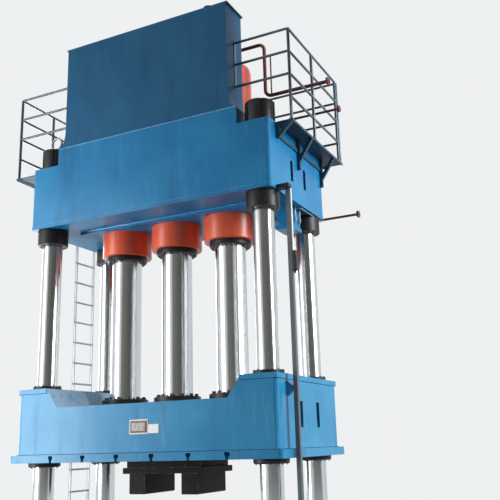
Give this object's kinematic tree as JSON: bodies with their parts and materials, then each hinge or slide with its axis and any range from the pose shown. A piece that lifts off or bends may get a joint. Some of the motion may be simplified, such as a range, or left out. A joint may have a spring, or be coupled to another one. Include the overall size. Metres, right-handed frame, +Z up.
{
  "type": "hydraulic press",
  "caption": "Four-column hydraulic press with a crown, a sliding beam driven by vertical cylinders, an oil tank on top, a railed walkway and a ladder.",
  "frame": {"origin": "on the floor under the press, in the middle of the four columns", "axes": "+Z up, -Y the front with the tank, +X to the right seen from the front"},
  "size_m": [4.5978, 2.078, 7.2383],
  "materials": {
    "crown_paint": "semi-gloss enamel",
    "slide_paint": "semi-gloss enamel",
    "tank_paint": "satin enamel",
    "cylinder_paint": "semi-gloss enamel",
    "blacked_steel": "oil-blacked",
    "die_steel": "oiled",
    "chromed_steel": "ground and chromed",
    "machined_steel": "milled",
    "rail_paint": "satin enamel",
    "ladder_paint": "satin enamel",
    "pipe_paint": "satin enamel",
    "switch_plastic": "moulded"
  },
  "bodies": {
    "frame": {"base_nut_front_left": "blacked_steel", "base_nut_front_right": "blacked_steel", "base_nut_rear_left": "blacked_steel", "base_nut_rear_right": "blacked_steel", "bed": "crown_paint", "bolster": "machined_steel", "collar_front_left": "blacked_steel", "collar_front_right": "blacked_steel", "collar_rear_left": "blacked_steel", "collar_rear_right": "blacked_steel", "column_front_left": "chromed_steel", "column_front_right": "chromed_steel", "column_rear_left": "chromed_steel", "column_rear_right": "chromed_steel", "crown": "crown_paint", "crown_nut_front_left": "blacked_steel", "crown_nut_front_right": "blacked_steel", "crown_nut_rear_left": "blacked_steel", "crown_nut_rear_right": "blacked_steel", "cylinder_left": "cylinder_paint", "cylinder_middle": "cylinder_paint", "cylinder_right": "cylinder_paint", "deck_left": "tank_paint", "deck_rear": "tank_paint", "deck_right": "tank_paint", "drain_line": "pipe_paint", "gland_left": "blacked_steel", "gland_middle": "blacked_steel", "gland_right": "blacked_steel", "handrail_front_left": "rail_paint", "handrail_front_right": "rail_paint", "handrail_left": "rail_paint", "handrail_rear": "rail_paint", "handrail_right": "rail_paint", "ladder": "ladder_paint", "limit_switch": "switch_plastic", "oil_manifold": "pipe_paint", "oil_tank": "tank_paint", "pilot_line": "pipe_paint", "return_line": "pipe_paint", "stroke_rail": "ladder_paint", "switch_junction_box": "crown_paint", "tank_lid": "tank_paint"},
    "slide": {"slide": "slide_paint", "guide_bush_front_left": "blacked_steel", "guide_bush_front_right": "blacked_steel", "guide_bush_rear_left": "blacked_steel", "guide_bush_rear_right": "blacked_steel", "wiper_ring_front_left": "blacked_steel", "wiper_ring_front_right": "blacked_steel", "wiper_ring_rear_left": "blacked_steel", "wiper_ring_rear_right": "blacked_steel", "ram_left": "chromed_steel", "ram_middle": "chromed_steel", "ram_right": "chromed_steel", "ram_flange_left": "blacked_steel", "ram_flange_middle": "blacked_steel", "ram_flange_right": "blacked_steel", "upper_die": "die_steel", "striker": "blacked_steel"}
  },
  "joints": [
    {"name": "slide_stroke", "type": "slide", "parent": "frame", "child": "slide", "axis": [0, 0, 1], "range_m": [-0.42, 1.6]}
  ]
}
